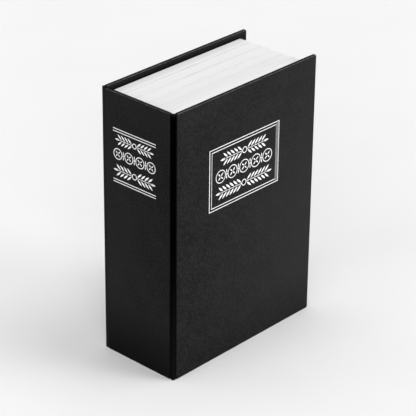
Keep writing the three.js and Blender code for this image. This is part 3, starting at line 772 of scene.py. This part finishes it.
def joint_sheet(side, flip, body):
    """Drawn from the book's corner: x in from the spine, y in from the cover."""
    bm = bmesh.new()
    tip = bm.verts.new((0.45, 2.98, JOINT_TAIL))

    def straight(step):
        nonlocal tip
        tip = bmesh.ops.extrude_vert_indiv(bm, verts=[tip])["verts"][0]
        tip.co += Vector((*step, 0))

    def arc(centre, degrees, steps):
        nonlocal tip
        last = spin(bm, [tip], (*centre, 0), (0, 0, 1), degrees, steps)
        tip = [part for part in last if isinstance(part, bmesh.types.BMVert)][0]

    # the crease beside the spine, the bead, and the crease beside the cover
    straight((0.173, 0))
    arc((0.623, 2.83), -142.8, 8)
    arc((1.575, 1.575), 142.8, 22)
    arc((1.575, 0.45), 90, 6)
    straight((0, 0.4))
    arc((2.025, 0.85), -180, 8)
    straight((0, -0.35))
    bmesh.ops.remove_doubles(bm, verts=bm.verts, dist=0.001)
    draw_wall(bm, list(bm.edges), (0, 0, JOINT_HEAD - JOINT_TAIL))
    for level in (JOINT_TAIL, JOINT_HEAD):
        level_verts = {v for v in bm.verts if abs(v.co.z - level) < 0.01}
        rim = edges_among(bm, level_verts)
        ends = [v for v in level_verts if len(v.link_edges) == 2]
        last, first = sorted(ends, key=lambda v: v.co.y)
        chain = [last, bm.verts.new((*FOLDED_IN, level)), first]
        rim += [bm.edges.new(pair) for pair in zip(chain, chain[1:])]
        bmesh.ops.contextual_create(bm, geom=rim)
    place = Matrix.Translation((-60, -28.5 * flip, 0)) @ Matrix.Diagonal((1, flip, 1, 1))
    piece = make_piece(
        f"{side}_joint_covering", bm, papers[f"{side}_joint"], body,
        f"{side}_joint", flat=80, place=place,
    )
    add_thickness(piece, 0.35, even=False)
    return piece


front_joint = joint_sheet("front", 1, None)
joint_sheet("back", -1, "root")

# %% [markdown]
# The leaves
#
# The page block is glued at the spine and trimmed, but not perfectly: small groups of
# leaves stand a little proud, which draws the fine lines on the head and the fore-edge,
# and each section leans out towards the front. The last two leaves are dark: they are
# the free half of the back endpaper, and they also paint the shade in the gap beside the
# back cover. A solid block would fill the hole that the box lies in, so each leaf is a
# ring round that hole: two rounded loops bridged, then given thickness. A seeded draw
# shifts each leaf's edges, so every run makes the same book.


# %% A ring between two rounded rectangles
def open_outline(bm, corners):
    """Takes the face out of a flat outline, and gives its loop of edges."""
    face = corners[0].link_faces[0]
    edges = list(face.edges)
    bmesh.ops.delete(bm, geom=[face], context="FACES_ONLY")
    return edges


def rounded_loop(bm, x, z, y, radius, segments):
    """A rectangle's outline across Y, with round corners, as a loop of edges."""
    middle = (sum(x) / 2, y, sum(z) / 2)
    lay_flat = Matrix.Rotation(math.radians(90), 4, "X")
    size = Matrix.Diagonal((x[1] - x[0], z[1] - z[0], 1, 1))
    place = Matrix.Translation(middle) @ lay_flat @ size
    corners = round_off(bm, rectangle(bm, place), radius, segments, "VERTICES")
    return open_outline(bm, corners)


def ring_sheet(bm, outer, hole, y, radius, segments):
    loops = rounded_loop(bm, *outer, y[0], radius[0], segments)
    loops += rounded_loop(bm, *hole, y[0], radius[1], segments)
    ring = bmesh.ops.bridge_loops(bm, edges=loops)["faces"]
    thicken(bm, ring, (0, y[1] - y[0], 0))


# %% Six sections of leaves
SECTIONS, LEAVES = 6, 26  # leaves in each section
SPINE_EDGE, FORE_EDGE = -57.4, 54
TAIL_EDGE, HEAD_EDGE = 3.5, 166.5
FIRST_LEAF, LAST_LEAF = -25.9, 26.0
SECTION_GAP, LEAF_GAP = 0.1, 0.02
SECTION_DEPTH = (LAST_LEAF - FIRST_LEAF - 5 * SECTION_GAP) / SECTIONS
LEAF_PITCH = SECTION_DEPTH / LEAVES
HOLE = ((-46.9, 46.9), (10.9, 159.1))
draw = random.Random(11)

left_in_group = 0
flyleaves_and_shade = bmesh.new()
for section in range(SECTIONS):
    bm = bmesh.new()
    front = FIRST_LEAF + section * (SECTION_DEPTH + SECTION_GAP)
    wander = 0.35 * math.sin(2.4 * section + 1)
    head = 0.06 * math.cos(1.9 * section)
    for leaf in range(LEAVES):
        if left_in_group == 0:
            left_in_group = draw.randint(2, 7)
            proud = draw.uniform(-0.3, 0.0)
            proud_head = draw.uniform(-0.1, 0.0)
        left_in_group -= 1
        # a section leans out towards the front and is rounded off where the next begins
        lean = 1.1 * (0.4 - leaf / LEAVES) - (0.6, 0.25, 0.05)[min(leaf, 2)]
        edge = wander + lean + 0.6 * proud + draw.uniform(-0.06, 0)
        from_outside = min(leaf, LEAVES - 1 - leaf)
        fold = (0.12, 0.04, 0.0)[min(from_outside, 2)]
        top = head + proud_head - fold + draw.uniform(-0.02, 0)
        start = front + leaf * LEAF_PITCH
        # the last two leaves are a dark sheet: the free endpaper, and painted shade for the
        # gap beside the back cover
        dark = section == SECTIONS - 1 and leaf >= LEAVES - 2
        outline = ((SPINE_EDGE, FORE_EDGE + edge), (TAIL_EDGE - top, HEAD_EDGE + top))
        across = (start, start + LEAF_PITCH - LEAF_GAP)
        ring_sheet(flyleaves_and_shade if dark else bm, outline, HOLE, across, (0.6, 2.3), 2)
    name, node = f"leaves_{section + 1}", f"page_section_{section + 1}"
    make_piece(name, bm, page_paper, "root", node, flat=30)
make_piece("back_flyleaves_and_shade", flyleaves_and_shade, endpaper_paper, "root", flat=30)

# %% [markdown]
# Endpapers
#
# A charcoal sheet is pasted over the turn-ins of each cover. The step where the turn-in
# ends shows through it as a faint frame: an inset border, then a second narrow inset
# that sinks the middle by a tenth of a millimetre.

# %% Front and back endpapers
ENDPAPER_X, ENDPAPER_Z = (-53.4, 56), (4, 166)


def endpaper(side, y, facing, body):
    bm = bmesh.new()
    block(bm, ENDPAPER_X, y, ENDPAPER_Z)
    shown = max(bm.faces, key=lambda f: f.normal.y * facing)
    bmesh.ops.inset_region(bm, faces=[shown], thickness=7.6, depth=0)
    bmesh.ops.inset_region(bm, faces=[shown], thickness=0.9, depth=-0.09)
    name, node = f"{side}_endpaper_sheet", f"{side}_endpaper"
    make_piece(name, bm, endpaper_paper, body, node, flat=80)


endpaper("front", (-26.3, -26.1), 1, "front_cover")
endpaper("back", (26.1, 26.3), -1, "root")

# %% [markdown]
# Foil blocking
#
# The cover carries a double-rule frame in white foil and the spine carries pairs of
# rules. Between them run generic bookbinder's ornaments: laurel stems with pairs of
# pointed leaves, and a band of roundels made by spinning a short line full circle. All
# of it is drawn flat, as seen from the front, and given a foil's thickness once.

# %% Foil shapes in the plane of a panel
FOIL, INTO_BOARD = 0.03, 0.01


def bar(bm, a, b):
    middle = Vector((sum(a) / 2, sum(b) / 2, 0))
    rectangle(bm, Matrix.LocRotScale(middle, None, (a[1] - a[0], b[1] - b[0], 1)))


def dot(bm, a, b, radius):
    place = Matrix.Translation((a, b, 0))
    bmesh.ops.create_circle(bm, cap_ends=True, segments=12, radius=radius, matrix=place)


def pointed_leaf(bm, a, b, length, width, degrees):
    made = bmesh.ops.create_circle(bm, cap_ends=True, segments=16, radius=1)["verts"]
    for vert in made:
        vert.co.y *= abs(vert.co.y)  # a circle drawn out to two points
    size = Matrix.Diagonal((length / 2, width / 2, 1, 1))
    turn = Matrix.Rotation(math.radians(degrees), 4, "Z")
    place = Matrix.Translation((a, b, 0)) @ turn @ size
    bmesh.ops.transform(bm, matrix=place, verts=made)


def spun_ring(bm, centre, radius, width, steps):
    """A ring of constant width: a short line across it is spun full circle."""
    reaches = (radius - width / 2, radius + width / 2)
    ends = [bm.verts.new((centre[0] + reach, centre[1], 0)) for reach in reaches]
    edge = bm.edges.new(ends)
    spin(bm, [*ends, edge], (*centre, 0), (0, 0, 1), 360, steps)


# %% The two ornaments
def laurel(bm, a, b, pairs, stroke=0.35):
    """Two leafy stems that grow outwards from a small ring in the middle."""
    centre, middle, height = sum(a) / 2, sum(b) / 2, b[1] - b[0]
    ring = 0.26 * height
    pitch = ((a[1] - a[0]) / 2 - ring - 0.45 * height) / pairs
    spun_ring(bm, (centre, middle), ring - 0.25, 0.5, 20)
    for side in (-1, 1):
        end = centre + side * ((a[1] - a[0]) / 2 - 0.3 * height)
        start = centre + side * ring
        bar(bm, sorted((start, end)), (middle - stroke / 2, middle + stroke / 2))
        pointed_leaf(bm, end, middle, 0.6 * height, 0.17 * height, 0)
        for i in range(pairs):
            at = start + side * (i + 0.75) * pitch
            for half in (-1, 1):
                pointed_leaf(
                    bm, at, middle + half * 0.29 * height, 0.62 * height,
                    0.15 * height, side * half * 42,
                )


def roundels(bm, a, b, count, stroke=0.5):
    """Rings with four petals each, and a dot between two lozenges from ring to ring."""
    middle, radius = sum(b) / 2, (b[1] - b[0]) / 2
    pitch = (a[1] - a[0] - 2 * radius) / (count - 1)
    slim = 0.1 * (pitch - 2 * radius)
    for i in range(count):
        at = a[0] + radius + i * pitch
        spun_ring(bm, (at, middle), radius - stroke / 2, stroke, 28)
        for degrees in (45, 135, 225, 315):
            turn = math.radians(degrees)
            reach = 0.38 * radius
            pointed_leaf(
                bm, at + reach * math.cos(turn), middle + reach * math.sin(turn),
                0.62 * radius, 0.20 * radius, degrees,
            )
        if i < count - 1:
            mid = at + pitch / 2
            for side in (-1, 1):
                pointed_leaf(
                    bm, mid, middle + side * 0.48 * radius, 0.62 * radius,
                    0.14 * radius + slim, 90,
                )
            dot(bm, mid, middle, 0.1 * radius + slim)


def foil_piece(name, bm, place, material, body):
    bmesh.ops.remove_doubles(bm, verts=bm.verts, dist=0.002)
    thicken(bm, bm.faces[:], (0, 0, FOIL + INTO_BOARD))
    make_piece(name, bm, material, body, place=place)


# %% The front panel
FRONT_PLANE = Matrix(
    ((1, 0, 0, -60), (0, 0, -1, -28.5 + FOIL + INTO_BOARD), (0, 1, 0, 0), (0, 0, 0, 1))
)
RULE = 0.47

bm = bmesh.new()
for uprights, across, (low, high) in (
    (((28.9, 29.4), (87.85, 88.25)), (29.4, 87.85), (99.2, 138.4)),
    (((30.8, 31.1),), (31.1, 85.4), (101.0, 136.6)),
):
    for upright in uprights:
        bar(bm, upright, (low, high))
    for level in (low, high - RULE):
        bar(bm, across, (level, level + RULE))
laurel(bm, (38.0, 79.0), (125.6, 133.4), 5)
roundels(bm, (34.3, 82.4), (115.2, 123.5), 5)
laurel(bm, (34.3, 82.4), (104.8, 112.8), 6)
foil_piece("front_foil", bm, FRONT_PLANE, white_foil, "front_cover")

bm = bmesh.new()
bar(bm, (85.4, 87.6), (100.1, 137.5))
foil_piece("front_foil_band", bm, FRONT_PLANE, grey_foil, "front_cover")

# %% The spine panel
SPINE_PLANE = Matrix(
    ((0, 0, -1, -60 + FOIL + INTO_BOARD), (-1, 0, 0, 28.5), (0, 1, 0, 0), (0, 0, 0, 1))
)

bm = bmesh.new()
for level in (147.6, 146.0, 115.9, 114.3):
    bar(bm, (9.4, 43.0), (level - RULE / 2, level + RULE / 2))
laurel(bm, (11.0, 41.5), (137.9, 144.5), 4)
roundels(bm, (9.6, 42.8), (128.7, 135.7), 4)
laurel(bm, (9.6, 42.8), (118.3, 125.7), 4)
foil_piece("spine_foil", bm, SPINE_PLANE, white_foil, "root")

# %% [markdown]
# The steel box
#
# The box is folded from sheet steel with its rim turned in round the mouth. Two rounded
# loops bridged make the rim, the outer loop is drawn back for the walls and closed for
# the floor, and the folds are rounded before the sheet gets its thickness inwards.

# %% Box tray
RIM_Y, BOX_DEPTH, SHEET_STEEL = -20.7, 46.7, 1.0

bm = bmesh.new()
outer = rounded_loop(bm, (-46.6, 46.6), (11.2, 158.8), RIM_Y, 2, 5)
outer_verts = {v for e in outer for v in e.verts}
mouth = rounded_loop(bm, (-37.8, 40), (17.8, 152.2), RIM_Y, 2, 5)
bmesh.ops.bridge_loops(bm, edges=outer + mouth)
back_verts = set(draw_wall(bm, edges_among(bm, outer_verts), (0, BOX_DEPTH, 0)))
bmesh.ops.contextual_create(bm, geom=edges_among(bm, back_verts))
bmesh.ops.recalc_face_normals(bm, faces=bm.faces)
round_off(bm, sharp_edges(bm), 1.2, 4)
tray = make_piece("tray", bm, box_enamel, "root", "box_tray")
# a mesh that is open at the mouth has to face out before the sheet grows inwards
add_thickness(tray, SHEET_STEEL)
add_bevel(tray, 0.25)

# %% [markdown]
# Solids that are right as they come
#
# The lid and the works behind it already have their real shapes. Their meshes stay as
# they are: a weld joins the loose triangles, a small bevel breaks each arris as a file
# would, and the finish is new.


# %% Dress the solids of the frame
def dress(node, material, arris):
    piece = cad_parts[node]
    piece.data.materials.clear()
    piece.data.materials.append(material)
    piece.data.shade_smooth()
    weld = piece.modifiers.new("weld", "WELD")
    weld.merge_threshold = 0.005 * MM
    even_shading(piece)
    add_bevel(piece, arris, 2, 35)


for nodes, material, arris in (
    (["lid_plate"], box_enamel, 0.2),
    (["front_board", "back_board", "spine_board"], binders_board, 0.1),
    (["spine_lining"], lining_cloth, 0.05),
    (["lock_housing"], lock_plastic, 0.15),
    (["detent_spring", "carrier_pin"], spring_steel, 0.05),
    (["slide_carrier"], brass, 0.1),
    ([f"dial_sleeve_{number}" for number in (1, 2, 3)], brass, 0.08),
    (["lock_bolt"], hinge_steel, 0.08),
    ([f"lock_screw_{number}" for number in (1, 2, 3, 4)], hinge_steel, 0.08),
):
    for node in nodes:
        dress(node, material, arris)
print("dressed solids:", sum(1 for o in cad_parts.values() if o.modifiers))

# %% [markdown]
# The piano hinge
#
# Each leaf is a flat strip with its edge rolled into knuckles, which take turns along
# one long pin. The strip, the tabs and the knuckles are bevelled one by one and overlap
# as if rolled from one sheet. The rivets are turned: half a section is spun full circle.

# %% Hinge leaves and pin
PIN = (-40.6, -22.4)
HINGE_Z = (15, 155)
KNUCKLES, KNUCKLE_GAP = 7, 0.4


def knuckle(bm, z, radius=1.5):
    place = Matrix.Translation((*PIN, sum(z) / 2))
    made = bmesh.ops.create_cone(
        bm, cap_ends=True, segments=36, radius1=radius, radius2=radius,
        depth=z[1] - z[0], matrix=place,
    )["verts"]
    round_off(bm, [e for e in edges_of(made) if e.calc_face_angle(0) > 1], 0.22, 3)


def strip(bm, x, y, z):
    round_off(bm, edges_of(block(bm, x, y, z)), 0.15, 2)


def hinge_leaf(side, first, flat_x, tab_x, y, body):
    bm = bmesh.new()
    strip(bm, flat_x, y, HINGE_Z)
    pitch = (HINGE_Z[1] - HINGE_Z[0]) / KNUCKLES
    for i in range(first, KNUCKLES, 2):
        low, high = HINGE_Z[0] + i * pitch, HINGE_Z[0] + (i + 1) * pitch
        z = (low + KNUCKLE_GAP / 2, high - KNUCKLE_GAP / 2)
        strip(bm, tab_x, y, z)
        knuckle(bm, z)
    name, node = f"hinge_leaf_on_{side}", f"hinge_leaf_{side}"
    make_piece(name, bm, hinge_steel, body, node)


hinge_leaf("box", 0, (-46.4, -42.4), (-42.9, -40.6), (-21.4, -20.8), "root")
hinge_leaf("lid", 1, (-38.8, -31.2), (-40.6, -38.3), (-22.7, -22.1), "lid")
bm = bmesh.new()
knuckle(bm, (14.25, 155.75), 0.75)
make_piece("hinge_pin_rod", bm, hinge_steel, "root", "hinge_pin")


# %% Rivets
def turned(bm, profile, x, z):
    """Spins a profile of (radius, y) round the line through x, z along Y."""
    line = [bm.verts.new((x + radius, y, z)) for radius, y in profile]
    edges = [bm.edges.new(pair) for pair in zip(line, line[1:])]
    spin(bm, line + edges, (x, 0, z), (0, 1, 0), 360, 24)
    bmesh.ops.remove_doubles(bm, verts=bm.verts, dist=0.005)


def rivet(side, number, x, z, head, sheet_end, body):
    """A domed head at y = head, and a shank with a flat head behind sheet_end."""
    bm = bmesh.new()
    dome = [(0, -0.62), (0.45, -0.6), (0.85, -0.5), (1.16, -0.33), (1.34, -0.14), (1.4, 0)]
    profile = [(radius, head + rise) for radius, rise in dome]
    profile += [(0.8, head + 0.02), (0.8, sheet_end), (1.2, sheet_end + 0.02)]
    profile += [(1.25, sheet_end + 0.12), (1.1, sheet_end + 0.34), (0, sheet_end + 0.36)]
    turned(bm, profile, x, z)
    name, node = f"{side}_rivet_{number}", f"hinge_rivet_{side}_{number}"
    make_piece(name, bm, hinge_steel, body, node, flat=60)


for number, z in enumerate((35, 85, 135), start=1):
    rivet("box", number, -44.0, z, -21.4, -19.68, "root")
    rivet("lid", number, -34.5, z, -22.7, -20.98, "lid")

# %% [markdown]
# The lock's face
#
# A die-cast plate on the lid frames the three dials and the slot of the thumb slide.
# Its outline and windows are loops filled as one sheet, drawn back for thickness and
# bevelled. A thin raised frame round the dials keeps fingers on them.

# %% Escutcheon
DIAL_X = (9.1, 15.1, 21.1)
FACE_Y, BACK_Y = -23.3, -22.1
WINDOW_Z = (78.63, 91.37)

bm = bmesh.new()
loops = rounded_loop(bm, (0.7, 41.3), (70.8, 99.2), FACE_Y, 3, 6)
for x in DIAL_X:
    loops += rounded_loop(bm, (x - 2.2, x + 2.2), WINDOW_Z, FACE_Y, 0.5, 3)
loops += rounded_loop(bm, (26.9, 36.5), (82.7, 87.3), FACE_Y, 0.5, 3)
plate = bmesh.ops.triangle_fill(
    bm, use_beauty=True, use_dissolve=False, edges=loops, normal=(0, -1, 0)
)["geom"]
faces = [g for g in plate if isinstance(g, bmesh.types.BMFace)]
thicken(bm, faces, (0, BACK_Y - FACE_Y, 0))
frame_outside, frame_inside = ((6.1, 24.1), (77.8, 92.2)), ((6.8, 23.4), (78.5, 91.5))
ring_sheet(bm, frame_outside, frame_inside, (-23.55, -23.2), (0.9, 0.5), 4)
# a boss behind the plate for each screw
for x in (7.8, 34.2):
    for z in (73.1, 96.9):
        turned(bm, [(0, -22.2), (1.7, -22.2), (1.7, -21.1), (0, -21.1)], x, z)
escutcheon = make_piece(
    "lock_face_plate", bm, satin_zinc, "lid", "lock_escutcheon", flat=30
)
add_bevel(escutcheon, 0.22, 3, 50)

# %% Thumb slide
RIDGES, RIDGE_PITCH, FIRST_RIDGE = 5, 1.175, 26.35

bm = bmesh.new()
block(bm, (25.5, 31.9), (-24.55, -23.4), (80, 90))
round_off(bm, edges_along(bm, Y), 1.6, 6)
round_off(bm, sharp_edges(bm), 0.25, 3)
for ridge in range(RIDGES):
    x = FIRST_RIDGE + ridge * RIDGE_PITCH
    made = block(bm, (x - 0.33, x + 0.33), (-25.0, -24.4), (81.4, 88.6))
    round_off(bm, edges_of(made), 0.2, 3)
make_piece("thumb_slide_cap", bm, satin_zinc, "bolt", "thumb_slide")

# %% [markdown]
# The dials
#
# Each dial is a ten-sided wheel with a notch between its faces and a number on each.
# A ten-sided loop with its corners cut gives the faces and the notches, which are pushed
# in. The numbers are text, made a mesh and laid on the faces one after another.

# %% Dial wheels
FACES = 10
HALF_FACE = 180 / FACES  # degrees round the wheel
DIAL_RADIUS, BORE_RADIUS, DIAL_WIDTH = 7.8, 3.72, 3.8
AXIS_Y, AXIS_Z = -17.2, 85


def wheel_loop(bm, radius, cut):
    """A ten-sided loop across X, with its corners cut, and a face towards -Y."""
    turn = Matrix.Rotation(math.radians(90), 4, "Y")
    aim = Matrix.Rotation(math.radians(HALF_FACE), 4, "X")
    corners = bmesh.ops.create_circle(
        bm, cap_ends=True, segments=FACES, radius=radius, matrix=aim @ turn
    )["verts"]
    return open_outline(bm, round_off(bm, corners, cut, 1, "VERTICES"))


def dial_wheel():
    bm = bmesh.new()
    loops = wheel_loop(bm, DIAL_RADIUS, 0.42) + wheel_loop(bm, BORE_RADIUS, 0.3)
    ring = bmesh.ops.bridge_loops(bm, edges=loops)["faces"]
    thicken(bm, ring, (DIAL_WIDTH, 0, 0))
    bmesh.ops.translate(bm, verts=bm.verts, vec=(-DIAL_WIDTH / 2, 0, 0))
    bmesh.ops.recalc_face_normals(bm, faces=bm.faces)
    notches = [
        f
        for f in bm.faces
        if abs(f.normal.x) < 0.1
        and f.calc_center_median().yz.length > 6
        and f.calc_area() < DIAL_WIDTH * 1.2
    ]
    bmesh.ops.inset_individual(bm, faces=notches, thickness=0.1, depth=-0.45)
    return bm


def add_text(bm, text, size, thickness, place):
    """Flat text made a mesh, centred on its own face, then placed."""
    words = bpy.data.curves.new("number", "FONT")
    words.body = text
    words.size = size
    words.extrude = thickness / 2
    words.resolution_u = 3
    words.align_x = "CENTER"
    writer = add_object("number", words)
    graph = bpy.context.evaluated_depsgraph_get()
    mesh = bpy.data.meshes.new_from_object(writer.evaluated_get(graph))
    low = Vector(map(min, zip(*(v.co for v in mesh.vertices))))
    high = Vector(map(max, zip(*(v.co for v in mesh.vertices))))
    mesh.transform(place @ Matrix.Translation(-(low + high) / 2))
    bm.from_mesh(mesh)
    bpy.data.objects.remove(writer)
    bpy.data.meshes.remove(mesh)


# %% Three dials with their numbers
TO_FACE = DIAL_RADIUS * math.cos(math.radians(HALF_FACE))
for number, x in enumerate(DIAL_X, start=1):
    at = Matrix.Translation((x, AXIS_Y, AXIS_Z))
    wheel = make_piece(
        f"dial_wheel_{number}", dial_wheel(), dial_plastic, f"dial_{number}",
        f"number_dial_{number}", flat=30, place=at,
    )
    add_bevel(wheel, 0.12, 2)
    bm = bmesh.new()
    for digit in range(FACES):
        turn = Matrix.Rotation(math.radians(-2 * HALF_FACE * digit), 4, "X")
        stand_up = Matrix.Rotation(math.radians(90), 4, "X")
        place = turn @ Matrix.Translation((0, -TO_FACE - 0.02, 0)) @ stand_up
        add_text(bm, str(digit), 3.9, 0.12, place)
    make_piece(
        f"dial_numbers_{number}", bm, number_paint, f"dial_{number}", place=at, flat=30
    )

# %% [markdown]
# The floor, the light and the world
#
# The photograph is high key: a pale sweep, light from all round, and soft shadows that
# are deep only where the book stands. One large lamp would cast one long shadow, so six
# soft far lights share the work: low ones light the upright faces and hardly the floor,
# high ones light the floor and the head, and a dim white world fills what is left.

# %% Floor
bm = bmesh.new()
rectangle(bm, Matrix.Scale(8, 4))
mesh = bpy.data.meshes.new("floor")
bm.to_mesh(mesh)
bm.free()
floor_paint, _, _ = grained("floor_sweep", 0.86, 0.87, 0.9, 60, 2, 0.01)
mesh.materials.append(floor_paint)
floor = add_object("floor", mesh)
print("floor:", [round(side, 1) for side in floor.dimensions], "metres")

# %% World and lights
bpy.context.scene.view_settings.view_transform = "Standard"
world = bpy.data.worlds.new("studio")
bpy.context.scene.world = world
world.use_nodes = True
background = world.node_tree.nodes["Background"].inputs
background["Color"].default_value = (1, 1, 1, 1)
background["Strength"].default_value = 0.16

# each light's azimuth, elevation and spread in degrees, and its strength
LIGHTS = {
    "front_light": (-47, 25, 40, 1.30),
    "left_light": (-90, 33, 45, 0.92),
    "back_left_light": (-150, 70, 40, 0.51),
    "high_right_light": (43, 67, 25, 0.80),
    "high_back_light": (120, 70, 30, 0.33),
    "low_front_light": (30, 7, 30, 2.58),
}
for name, (azimuth, elevation, spread, strength) in LIGHTS.items():
    light = bpy.data.lights.new(name, "SUN")
    light.energy = strength
    light.angle = math.radians(spread)
    facing = toward(azimuth, elevation).to_track_quat("Z", "Y")
    add_object(name, light).rotation_euler = facing.to_euler()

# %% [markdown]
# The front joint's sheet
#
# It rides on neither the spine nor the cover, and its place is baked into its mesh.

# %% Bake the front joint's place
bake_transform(front_joint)
